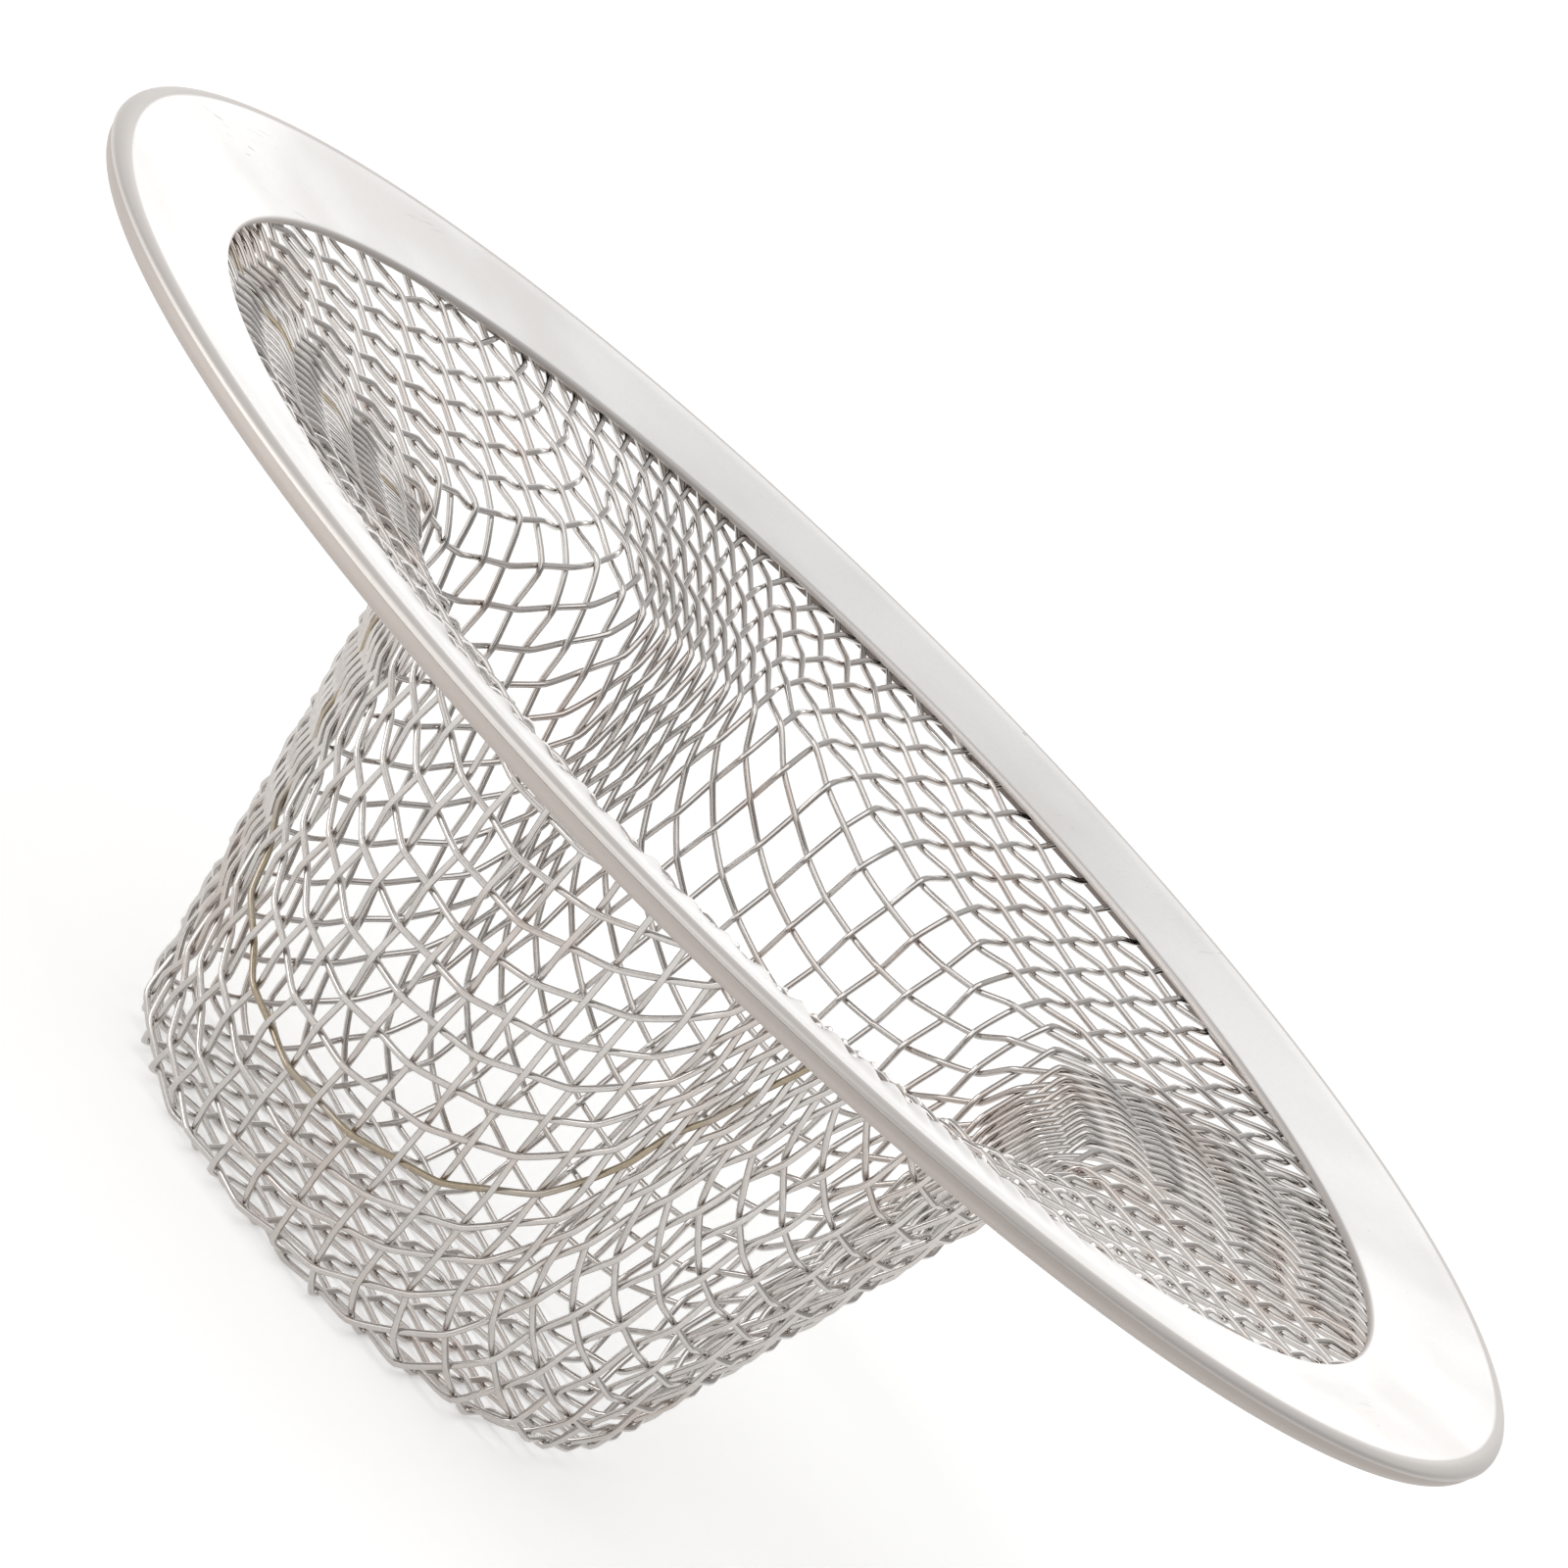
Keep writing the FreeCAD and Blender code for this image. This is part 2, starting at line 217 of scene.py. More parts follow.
@dataclass(frozen=True, kw_only=True)
class SheetFinish(SteelFinish):
    """Stamped sheet: drawn duller at its outer edge, where its colour is also painted a little darker as
    shade, bare at its cut edge, marked by handling, with painted shade over its lip and in the hollows
    between the lip's bumps.

    Lengths are in millimetres.
    """

    # The drawn band is rougher, and its colour is partly painted shade of the rolled shoulder.
    drawn: str
    cut: str
    drawn_radii: tuple[float, float]
    cut_radii: tuple[float, float]
    drawn_roughness: float = 0.55
    mark: str = "#8E8985"
    # Painted shade: its colour, and the most of it that is laid over the lip and in the hollows between the
    # bumps.
    grime: str = "#7E7975"
    grime_share: float = 0.75
    speck_spacing: float = 2.6
    speck_share: float = 0.09
    scuff_width: float = 0.35
    scuff_length: float = 3.0
    scuff_turn: float = math.radians(37)
    scuff_patch: float = 11.0
    mark_share: float = 0.5
    speck_band: tuple[float, float] = (0.5, 1.0)
    streak_band: tuple[float, float] = (0.66, 0.74)
    scuff_band: tuple[float, float] = (0.64, 0.78)
    scuff_waver: float = 0.6
    scuff_detail: float = 1.0
    scuff_patch_detail: float = 0.0

    def worked(self, tree: bpy.types.NodeTree, place: bpy.types.NodeSocket, tone: bpy.types.NodeSocket,
               rough: bpy.types.NodeSocket) -> tuple[bpy.types.NodeSocket, bpy.types.NodeSocket]:
        """Add the marks, the drawn shoulder with its painted shade, the cut edge, and painted shade over the
        lip, darkest in its hollows.

        Args:
            tree: the material's node tree.
            place: the socket that gives the place on the piece.
            tone: the socket that gives the plain sheet's colour.
            rough: the socket that gives the plain sheet's roughness.

        Returns:
            The sockets that give the colour and the roughness.
        """
        flat = add_node(tree, "ShaderNodeVectorMath", {"operation": "MULTIPLY"}, {1: (1, 1, 0)},
                        {0: place}).outputs["Vector"]
        radius = add_node(tree, "ShaderNodeVectorMath", {"operation": "LENGTH"},
                          links={0: flat}).outputs["Value"]
        tone = add_node(tree, "ShaderNodeMix", {"data_type": "RGBA"}, {COLOUR_B: linear(self.mark)},
                        {"Factor": self.marks(tree, place), COLOUR_A: tone}).outputs[COLOUR_OUT]
        # The drawn shoulder band gets a rougher surface and a colour that is partly painted shade; the cut
        # edge takes its own colour.
        for colour, (begin, full) in ((self.drawn, self.drawn_radii), (self.cut, self.cut_radii)):
            share = add_node(tree, "ShaderNodeMapRange", {"interpolation_type": "SMOOTHSTEP"},
                             {"From Min": begin * MM, "From Max": full * MM},
                             {"Value": radius}).outputs["Result"]
            tone = add_node(tree, "ShaderNodeMix", {"data_type": "RGBA"}, {COLOUR_B: linear(colour)},
                            {"Factor": share, COLOUR_A: tone}).outputs[COLOUR_OUT]
            rough = add_node(tree, "ShaderNodeMix", values={NUMBER_B: self.drawn_roughness},
                             links={"Factor": share, NUMBER_A: rough}).outputs[NUMBER_OUT]
        # Painted shade over the lip on the pressed side, darkest in the hollows between the bumps.
        lip_shade = add_node(tree, "ShaderNodeAttribute", {"attribute_name": LIP_SHADE}).outputs["Fac"]
        shade_amount = add_node(tree, "ShaderNodeMath", {"operation": "MULTIPLY"}, {1: self.grime_share},
                         {0: lip_shade}).outputs[0]
        tone = add_node(tree, "ShaderNodeMix", {"data_type": "RGBA"}, {COLOUR_B: linear(self.grime)},
                        {"Factor": shade_amount, COLOUR_A: tone}).outputs[COLOUR_OUT]
        return tone, rough

    def marks(self, tree: bpy.types.NodeTree, place: bpy.types.NodeSocket) -> bpy.types.NodeSocket:
        """How far the surface is marked: small specks, and scuffs that lie together in places.

        Args:
            tree: the material's node tree.
            place: the socket that gives the place on the piece.

        Returns:
            The socket that gives the share of the mark's colour.
        """
        cells = add_node(tree, "ShaderNodeTexVoronoi", values={"Scale": 1 / (self.speck_spacing * MM)},
                         links={"Vector": place}).outputs
        # Most cells have no speck, and the specks of the others differ in size.
        size = add_node(tree, "ShaderNodeMapRange",
                        values={"From Min": self.speck_band[0], "From Max": self.speck_band[1],
                                "To Max": self.speck_share},
                        links={"Value": cells["Color"]}).outputs["Result"]
        specks = add_node(tree, "ShaderNodeMath", {"operation": "LESS_THAN"},
                          links={0: cells["Distance"], 1: size}).outputs[0]
        long_way = 1 / (self.scuff_length * MM)
        turned = add_node(tree, "ShaderNodeMapping",
                          values={"Rotation": (0, 0, self.scuff_turn),
                                  "Scale": (1 / (self.scuff_width * MM), long_way, long_way)},
                          links={"Vector": place}).outputs["Vector"]
        streaks = add_node(tree, "ShaderNodeTexNoise",
                           values={"Scale": 1.0, "Detail": self.scuff_detail, "Distortion": self.scuff_waver},
                           links={"Vector": turned}).outputs["Fac"]
        where = add_node(tree, "ShaderNodeTexNoise",
                         values={"Scale": 1 / (self.scuff_patch * MM), "Detail": self.scuff_patch_detail},
                         links={"Vector": place}).outputs["Fac"]
        streaks = add_node(tree, "ShaderNodeMapRange",
                           values={"From Min": self.streak_band[0], "From Max": self.streak_band[1]},
                           links={"Value": streaks}).outputs["Result"]
        where = add_node(tree, "ShaderNodeMapRange",
                         values={"From Min": self.scuff_band[0], "From Max": self.scuff_band[1]},
                         links={"Value": where}).outputs["Result"]
        scuffs = add_node(tree, "ShaderNodeMath", {"operation": "MULTIPLY"},
                          links={0: streaks, 1: where}).outputs[0]
        marked = add_node(tree, "ShaderNodeMath", {"operation": "MAXIMUM"},
                          links={0: specks, 1: scuffs}).outputs[0]
        return add_node(tree, "ShaderNodeMath", {"operation": "MULTIPLY"}, {1: self.mark_share},
                        {0: marked}).outputs[0]


# Stamped stainless sheet with a satin finish: soft broad reflections, faint grain, a few specks and scuffs, a
# rougher shoulder band painted a little darker as shade, and painted shade over the lip and between its
# bumps.
SATIN_SHEET = SheetFinish(
    name="stainless_sheet_satin_stamped", pale="#D8D7D5", deep="#CFCDCB", warm="#CEC8C3", warm_share=0.4,
    roughness_low=0.3, roughness_high=0.37, grain=0.35, patch=14.0, bump_depth=0.003, wave=9.0,
    wave_depth=0.02, drawn="#D3CECA", cut="#CFC9C5", drawn_radii=(53.75, 54.0), cut_radii=(45.62, 45.44))
# Backing sheet as it left the rolls: rougher than the satin ring above it, with a darker, warmer grey that is
# partly painted shade of the lower band.
ROLLED_SHADED_SHEET = SheetFinish(
    name="stainless_sheet_rolled_shaded", pale="#BDB6B1", deep="#B2AAA5", warm="#B5AA9B", warm_share=0.6,
    roughness_low=0.36, roughness_high=0.46, grain=0.3, patch=7.0, bump_depth=0.005, wave=5.0,
    wave_depth=0.05, drawn="#B9B1AC", cut="#9A908B", drawn_radii=(53.8, 54.6), cut_radii=(48.5, 48.41))
# Bright drawn stainless wire: sharp highlights along the wire and dark reflections beside them.
DRAWN_WIRE = SteelFinish(
    name="stainless_wire_bright_drawn", pale="#D0CCC9", deep="#BAB5B1", warm="#B9AAA2", warm_share=0.5,
    roughness_low=0.1, roughness_high=0.17, grain=0.25, patch=8.0, bump_depth=0.002, wave=1.2,
    wave_depth=0.008)
# The same wire with a tea-coloured film left by use: golden brown, a little duller.
STAINED_WIRE = SteelFinish(
    name="stainless_wire_drawn_stained", pale="#AFA390", deep="#8F8370", warm="#B4AEA8", warm_share=0.9,
    roughness_low=0.2, roughness_high=0.32, grain=0.25, patch=6.0, bump_depth=0.002, wave=1.2,
    wave_depth=0.008)


def finish_piece(mesh: bpy.types.Mesh, name: str, materials: list[bpy.types.Material],
                 node: str) -> bpy.types.Object:
    """Put a mesh into the scene as the piece that stands for a node.

    Args:
        mesh: the piece's mesh, in place.
        name: the piece's name.
        materials: its finishes, in the order that its faces count them.
        node: the node that it stands for.

    Returns:
        The piece.
    """
    piece = bpy.data.objects.new(name, mesh)
    bpy.context.scene.collection.objects.link(piece)
    for material in materials:
        mesh.materials.append(material)
    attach(piece, BODY)
    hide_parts(node)
    log.info("%s: %d faces", name, len(mesh.polygons))
    return piece


@dataclass
class Rim:
    """The two stamped rings that hold the basket's brim, as turned sections. Millimetres."""

    radius: float = 55.0
    height: float = 40.0
    slope_share: float = 0.19
    flange_width: float = 9.6
    sheet: float = 0.45
    weave_space: float = 0.94
    skirt_share: float = 0.54
    seam_gap: float = 0.06
    lower_inset: float = 0.2
    lower_mouth_step: float = 3.0
    shoulder_radius: float = 0.8
    shoulder_steps: int = 8
    lip_rounding: float = 0.36
    lip_underside_rounding: float = 0.08
    lower_corner_radius: float = 0.6
    lip_width: float = 3.6
    row_shares: tuple[float, ...] = (0.15, 0.22, 0.31, 0.4, 0.5, 0.62, 0.8, 1.0, 1.35, 1.7, 2.0)
    lip_press: float = 0.3
    lip_rise: float = 0.45
    lip_bump_width: float = 0.65
    # Share of painted shade over the whole lip strip, the bumps' tops too.
    dull_share: float = 0.35
    near_sink: float = 0.42
    sink_begins: float = 1.0
    sink_full: float = 4.0
    pressed_turn: float = math.radians(-67)
    turn_steps: int = 1440
    bend_segments: int = 6
    round_profile: float = 0.5
    smooth_angle: float = math.radians(30)
    merge_gap: float = 0.001
    same_place: float = 0.02
    bump_reach: float = 3.0
    sink_fade: float = 2.0
    bumpy_fade: float = 4.0
    bumpy_edge: float = 0.7

    @property
    def lean(self) -> float:
        """Height through a sloping layer for each unit of its thickness."""
        return math.hypot(1, self.slope_share)

    @property
    def seam(self) -> float:
        """Height of the cut edge of the upper ring's skirt."""
        return self.height - self.skirt_share * self.lean * (2 * self.sheet + self.weave_space)

    @property
    def mouth_radius(self) -> float:
        """Radius of the opening inside the upper ring."""
        return self.radius - self.flange_width

    def sloped(self, radius: float, depth: float) -> tuple[float, float]:
        """A corner on the sloping face that lies a depth below the rim's upper face.

        Args:
            radius: distance from the axis.
            depth: distance square to the upper face.

        Returns:
            The corner's radius and height.
        """
        return radius, self.height - self.slope_share * (self.radius - radius) - self.lean * depth

    def shoulder(self, radius: float) -> list[tuple[float, float]]:
        """Corners along the rolled shoulder, from the flange down to the skirt's cut edge.

        Args:
            radius: radius of the roll.

        Returns:
            The corners' radii and heights.
        """
        middle = self.radius - self.shoulder_radius
        centre = self.sloped(middle, self.shoulder_radius)[1]
        first = math.pi / 2 + math.atan(self.slope_share)
        last = math.asin((self.seam - centre) / radius)
        turns = [first + (last - first) * step / self.shoulder_steps
                 for step in range(self.shoulder_steps + 1)]
        return [(middle + radius * math.cos(turn), centre + radius * math.sin(turn)) for turn in turns]

    def turned(self, corners: list[tuple[float, float]], roundings: dict[int, float]) -> bmesh.types.BMesh:
        """Turn an outline about the axis and round some of its corners.

        Args:
            corners: radius and height of each corner, in order round the section.
            roundings: radius of the rounding at some of the corners, by their place in the list.

        Returns:
            The ring.
        """
        shape = bmesh.new()
        verts = [shape.verts.new((radius * MM, 0, height * MM)) for radius, height in corners]
        edges = [shape.edges.new((verts[index - 1], verts[index])) for index in range(len(verts))]
        bmesh.ops.spin(shape, geom=verts + edges, cent=CENTRE, axis=AXIS, dvec=CENTRE,
                       angle=2 * math.pi, steps=self.turn_steps, use_merge=True)
        bmesh.ops.remove_doubles(shape, verts=shape.verts, dist=self.merge_gap * MM)
        bmesh.ops.recalc_face_normals(shape, faces=shape.faces)
        for index, rounding in roundings.items():
            radius, height = corners[index]
            self.round_loop(shape, radius * MM, height * MM, rounding * MM)
        return shape

    def mesh_of(self, shape: bmesh.types.BMesh) -> bpy.types.Mesh:
        """Make a ring a mesh, smooth but for its corners."""
        mesh = bpy.data.meshes.new("ring")
        shape.to_mesh(mesh)
        shape.free()
        mesh.shade_smooth()
        mesh.set_sharp_from_angle(angle=self.smooth_angle)
        return mesh

    def round_loop(self, shape: bmesh.types.BMesh, radius: float, height: float, rounding: float) -> None:
        """Round the circle of edges that a corner of the outline has made.

        Args:
            shape: the ring.
            radius: the circle's radius, in metres.
            height: its height, in metres.
            rounding: radius of the rounding, in metres.
        """
        near = self.same_place * MM
        on_circle = {vert for vert in shape.verts
                     if abs(vert.co.z - height) < near and abs(vert.co.xy.length - radius) < near}
        loop = [edge for edge in shape.edges if set(edge.verts) <= on_circle]
        opening = loop[0].calc_face_angle()
        bmesh.ops.bevel(shape, geom=loop, offset=rounding * math.tan(opening / 2), offset_type="OFFSET",
                        segments=self.bend_segments, profile=self.round_profile, affect="EDGES", material=-1)

    def emboss(self, shape: bmesh.types.BMesh, bumps: list[tuple[float, float]]) -> None:
        """Press the ring down on one side, so that the wires under its lip show as bumps there, and store
        painted shade over that lip, darkest between the bumps.

        Args:
            shape: the upper ring.
            bumps: the angle of each wire under the lip, and how high it lies, from 0 to 1.
        """
        step = 2 * math.pi / self.turn_steps
        lifts = [-self.lip_press] * self.turn_steps
        width = self.lip_bump_width / self.mouth_radius
        reach = round(self.bump_reach * width / step)
        for angle, height in bumps:
            middle = round(angle / step)
            for index in range(middle - reach, middle + reach + 1):
                away = (index * step - angle) / width
                lift = self.lip_rise * height * math.exp(-away * away) - self.lip_press
                lifts[index % self.turn_steps] = max(lifts[index % self.turn_steps], lift)
        roll_begins = self.flange_width - self.shoulder_radius
        lip_shade = shape.verts.layers.float.new(LIP_SHADE)
        for vert in shape.verts:
            past = vert.co.xy.length / MM - self.mouth_radius
            angle = math.atan2(vert.co.y, vert.co.x)
            facing = math.cos(angle - self.pressed_turn)
            pressed = smooth(self.sink_fade * facing)
            bumpy = smooth(self.bumpy_fade * (facing - self.bumpy_edge))
            at_lip = bumpy * (1 - smooth(past / self.lip_width))
            bump = lifts[round(angle / step) % self.turn_steps]
            sunk = self.near_sink * smooth((past - self.sink_begins) / (self.sink_full - self.sink_begins))
            # The roll gives way at its crest but not at its cut edge.
            if past > roll_begins:
                sunk *= smooth((vert.co.z / MM - self.seam) / (self.height - self.seam))
            depth = 1 - smooth((bump + self.lip_press) / self.lip_rise)
            # Painted shade: some over the whole lip strip, the rest deeper in the hollows between the bumps.
            vert[lip_shade] = at_lip * (self.dull_share + (1 - self.dull_share) * depth)
            vert.co.z += (bump * at_lip - pressed * sunk) * MM

    def build(self, bumps: list[tuple[float, float]]) -> None:
        """Build and dress both rings.

        Args:
            bumps: the angle of each wire under the lip, and how high it lies, from 0 to 1.
        """
        rows = [self.mouth_radius + share * self.lip_width for share in self.row_shares]
        upper = [self.sloped(self.mouth_radius, 0), *[self.sloped(radius, 0) for radius in rows],
                 *self.shoulder(self.shoulder_radius),
                 *reversed(self.shoulder(self.shoulder_radius - self.sheet)),
                 *[self.sloped(radius, self.sheet) for radius in reversed(rows)],
                 self.sloped(self.mouth_radius, self.sheet)]
        flange = self.turned(upper, {0: self.lip_rounding, len(upper) - 1: self.lip_underside_rounding})
        self.emboss(flange, bumps)
        finish_piece(self.mesh_of(flange), "rim_flange", [SATIN_SHEET.material()], "upper_rim_ring")
        mouth = self.mouth_radius + self.lower_mouth_step
        outside = self.radius - self.lower_inset
        inside = outside - self.sheet
        top = self.sheet + self.weave_space
        under = top + self.sheet
        edge = self.seam - self.seam_gap
        lower = [self.sloped(mouth, top), self.sloped(inside, top), (inside, edge), (outside, edge),
                 self.sloped(outside, under), self.sloped(mouth, under)]
        backing = self.turned(lower, {4: self.lower_corner_radius})
        finish_piece(self.mesh_of(backing), "rim_backing", [ROLLED_SHADED_SHEET.material()],
                     "lower_rim_ring")


@dataclass
class Basket:
    """The woven basket: a net of equal half cells on a turned surface, with a wire along each line.

    The surface runs from the floor over a bend, up the wall, over the neck's bend and out along the
    brim. Its profile is a chain of runs. Millimetres.
    """

    rim: Rim
    neck_radius: float = 26.5
    neck_bend: float = 3.5
    wall_spread: float = 7.95
    floor_bend: float = 3.0
    wire: float = 0.37
    full_wire: float = 0.42
    weave_clearance: float = 0.14
    crimp: float = 0.22
    wire_pairs: int = 25
    edge_share: float = 0.2
    reach_share: float = 0.6
    solve_steps: int = 30
    solve_share: float = 1e-5
    close_share: float = 1e-8
    ripple: float = 0.24
    ripple_size: float = 6.0
    net_seed: int = 7
    bend_share: float = 0.17
    stained_pair: int = 10
    curve_steps: int = 5
    section_resolution: int = 3
    spare_cells: int = 2
    runs: list[tuple[float, tuple[float, float, float], float]] = field(default_factory=list)
    net: dict[tuple[int, int], tuple[float, float]] = field(default_factory=dict)

    def __post_init__(self) -> None:
        """Lay out the profile and the net."""
        # Unseeded, the noise would push the cells another way in each run.
        noise.seed_set(self.net_seed)
        floor_height = self.wire + self.weave_clearance / 2
        drop = (self.rim.sheet + self.rim.weave_space / 2) * self.rim.lean
        neck_drop = self.rim.slope_share * (self.rim.radius - self.neck_radius)
        rise = self.rim.height - neck_drop - drop - floor_height
        wall_heading = math.atan2(rise, self.wall_spread)
        self.brim_heading = math.atan(self.rim.slope_share)
        neck_turn = self.brim_heading - wall_heading
        floor_cut = self.floor_bend * math.tan(wall_heading / 2)
        neck_cut = self.neck_bend * math.tan(-neck_turn / 2)
        self.end = (0.0, floor_height, 0.0)
        self.length = 0.0
        self.add_run(self.neck_radius - self.wall_spread - floor_cut, 0.0)
        self.add_run(self.floor_bend * wall_heading, 1 / self.floor_bend)
        self.add_run(math.hypot(rise, self.wall_spread) - floor_cut - neck_cut, 0.0)
        self.add_run(-self.neck_bend * neck_turn, -1 / self.neck_bend)
        self.brim_start = self.length
        self.add_run(math.inf, 0.0)
        self.half_cell = self.reach(self.rim.mouth_radius) / (self.wire_pairs + self.edge_share) / 2
        self.end_radius = self.rim.mouth_radius + self.reach_share * self.rim.flange_width
        self.lay_net()

    def add_run(self, length: float, turn: float) -> None:
        """Add a run at the profile's end.

        Args:
            length: the run's length.
            turn: how fast it turns, in radians for each millimetre.
        """
        self.runs.append((self.length, self.end, turn))
        if length < math.inf:
            self.length += length
            self.end = self.profile(self.length)

    def profile(self, along: float) -> tuple[float, float, float]:
        """Radius, height and heading of the profile.

        Args:
            along: length along the profile from the axis.

        Returns:
            The radius, the height and the heading there.
        """
        start, (radius, height, heading), turn = [run for run in self.runs if run[0] <= along][-1]
        past = along - start
        if turn == 0:
            return radius + past * math.cos(heading), height + past * math.sin(heading), heading
        headed = heading + past * turn
        radius += (math.sin(headed) - math.sin(heading)) / turn
        height -= (math.cos(headed) - math.cos(heading)) / turn
        return radius, height, headed

    def reach(self, radius: float) -> float:
        """Length along the profile to a radius of the brim."""
        return self.brim_start + (radius - self.end[0]) / math.cos(self.brim_heading)

    def point(self, node: tuple[float, float]) -> Vector:
        """The place on the surface of a node, a pair of lengths along the profile."""
        along = math.hypot(*node)
        radius, height, _ = self.profile(along)
        part = radius / along if along else 1.0
        return Vector((node[0] * part, node[1] * part, height))

    def inward(self, node: tuple[float, float]) -> Vector:
        """The direction square to the surface, towards the inside of the basket."""
        along = math.hypot(*node)
        heading = self.profile(along)[2]
        across = -math.sin(heading) / along
        return Vector((node[0] * across, node[1] * across, math.cos(heading)))

    def settle(self, first: Vector, second: Vector, guess: tuple[float, float]) -> tuple[float, float]:
        """Find the node half a cell from two places, by Newton's method.

        Args:
            first: one place.
            second: the other.
            guess: where to start.

        Returns:
            The node.
        """
        nudge = self.half_cell * self.solve_share

        def misses(node: tuple[float, float]) -> list[float]:
            """How far a node is from half a cell away."""
            place = self.point(node)
            return [(place - other).length - self.half_cell for other in (first, second)]

        x, y = guess
        for _ in range(self.solve_steps):
            here = misses((x, y))
            if max(map(abs, here)) < self.half_cell * self.close_share:
                break
            along_x = [(a - b) / nudge for a, b in zip(misses((x + nudge, y)), here)]
            along_y = [(a - b) / nudge for a, b in zip(misses((x, y + nudge)), here)]
            scale = along_x[0] * along_y[1] - along_x[1] * along_y[0]
            x -= (here[0] * along_y[1] - here[1] * along_y[0]) / scale
            y -= (here[1] * along_x[0] - here[0] * along_x[1]) / scale
        return x, y

    def step_out(self, along: float) -> float:
        """The length along the profile of the next node straight out from the axis."""
        start = self.point((along, 0.0))
        ahead = along + self.half_cell
        for _ in range(self.solve_steps):
            ahead -= (self.point((ahead, 0.0)) - start).length - self.half_cell
        return ahead

    def lay_net(self) -> None:
        """Work out one quarter of the net, by rows out from the axis, a little past the wires' ends."""
        limit = self.reach(self.end_radius) + 2 * self.spare_cells * self.half_cell
        edge = [0.0]
        while edge[-1] < limit:
            edge.append(self.step_out(edge[-1]))
        for row, along in enumerate(edge):
            self.net[row, 0] = (along, 0.0)
            self.net[0, row] = (0.0, along)
            for column in range(1, row + 1):
                before = self.net.get((row - 1, column))
                beside = self.net.get((row, column - 1))
                behind = self.net.get((row - 1, column - 1))
                if before is None or beside is None or math.hypot(*beside) > limit:
                    break
                guess = (before[0] + beside[0] - behind[0], before[1] + beside[1] - behind[1])
                x, y = self.settle(self.point(before), self.point(beside), guess)
                self.net[row, column] = (x, y)
                self.net[column, row] = (y, x)

    def crossings(self, row: int, turn: float) -> list[Vector]:
        """Where a wire crosses the others, on alternate sides of the surface, from end to end.

        Args:
            row: the wire's line in the net.
            turn: the turn about the axis that lays the wire in its place.

        Returns:
            The wire's places.
        """
        columns = []
        column = 1
        while self.profile(math.hypot(*self.net[row, column]))[0] <= self.end_radius or column == 1:
            columns.append(column)
            column += 2
        laid = Matrix.Rotation(turn, 3, AXIS)
        places = []
        for column in [-column for column in reversed(columns)] + columns:
            x, y = self.net[row, abs(column)]
            node = (x, math.copysign(y, column))
            side = 1 if (row + column) // 2 % 2 == 0 else -1
            inward = laid @ self.inward(node)
            middle = laid @ self.point(node)
            # Handling leaves the cells a little uneven, along the surface.
            pushed = noise.noise_vector(middle / self.ripple_size) * self.ripple
            middle += pushed - inward * pushed.dot(inward)
            places.append(middle + inward * (side * self.crimp))
        return places

    def lip_bumps(self) -> list[tuple[float, float]]:
        """Where wires pass under the rim's lip.

        Returns:
            The angle of each such wire, and how high it lies there, from 0 to 1.
        """
        radius, middle = self.rim.sloped(self.rim.mouth_radius, self.rim.sheet + self.rim.weave_space / 2)
        bumps = []
        turns = [family.value + half_turn for family in Family for half_turn in (0.0, math.pi)]
        for turn in turns:
            for number in range(1, self.wire_pairs + 1):
                places = self.crossings(2 * number - 1, turn)
                for start, end in zip(places, places[1:]):
                    start_radius, end_radius = start.xy.length, end.xy.length
                    if (start_radius < radius) != (end_radius < radius):
                        place = start.lerp(end, (radius - start_radius) / (end_radius - start_radius))
                        height = (place.z - middle) / self.crimp
                        bumps.append((math.atan2(place.y, place.x), (1 + height) / 2))
        return bumps

    def pair_mesh(self, number: int, family: Family) -> bpy.types.Mesh:
        """Make the two wires of a pair as round wire, straight between its bends over the crossings.

        Args:
            number: the pair's place out from the axis, from one.
            family: the family that the pair belongs to.

        Returns:
            The pair's mesh.
        """
        path = bpy.data.curves.new("wire_path", "CURVE")
        path.dimensions = "3D"
        # Fuller than the solids' wire, to look as heavy as in the photograph.
        path.bevel_depth = self.full_wire / 2 * MM
        path.bevel_resolution = self.section_resolution
        path.use_fill_caps = True
        path.resolution_u = self.curve_steps
        for half_turn in (0.0, math.pi):
            places = self.crossings(2 * number - 1, family.value + half_turn)
            spline = path.splines.new("BEZIER")
            spline.bezier_points.add(len(places) - 1)
            ends = [places[0], *places, places[-1]]
            for knot, before, place, after in zip(spline.bezier_points, ends, places, ends[2:]):
                along = (after - before).normalized() * self.bend_share
                knot.handle_left_type = "FREE"
                knot.handle_right_type = "FREE"
                knot.co = place * MM
                knot.handle_left = (place - along * (place - before).length) * MM
                knot.handle_right = (place + along * (after - place).length) * MM
        carrier = bpy.data.objects.new("wire_path", path)
        bpy.context.scene.collection.objects.link(carrier)
        bpy.context.view_layer.update()
        graph = bpy.context.evaluated_depsgraph_get()
        mesh = bpy.data.meshes.new_from_object(carrier.evaluated_get(graph), depsgraph=graph)
        bpy.data.objects.remove(carrier)
        bpy.data.curves.remove(path)
        mesh.shade_smooth()
        return mesh

    def build(self) -> None:
        """Build and dress every pair of wires."""
        steel = DRAWN_WIRE.material()
        stained = STAINED_WIRE.material()
        for family in Family:
            for number in range(1, self.wire_pairs + 1):
                mesh = self.pair_mesh(number, family)
                finishes = [steel]
                # One wire of this pair carries the stain: the second half of the faces.
                if family is Family.WEFT and number == self.stained_pair:
                    finishes.append(stained)
                    for face in mesh.polygons[len(mesh.polygons) // 2:]:
                        face.material_index = 1
                finish_piece(mesh, f"woven_{family.name.lower()}_{number:02d}", finishes,
                             f"{family.node_stem}_{number:02d}")


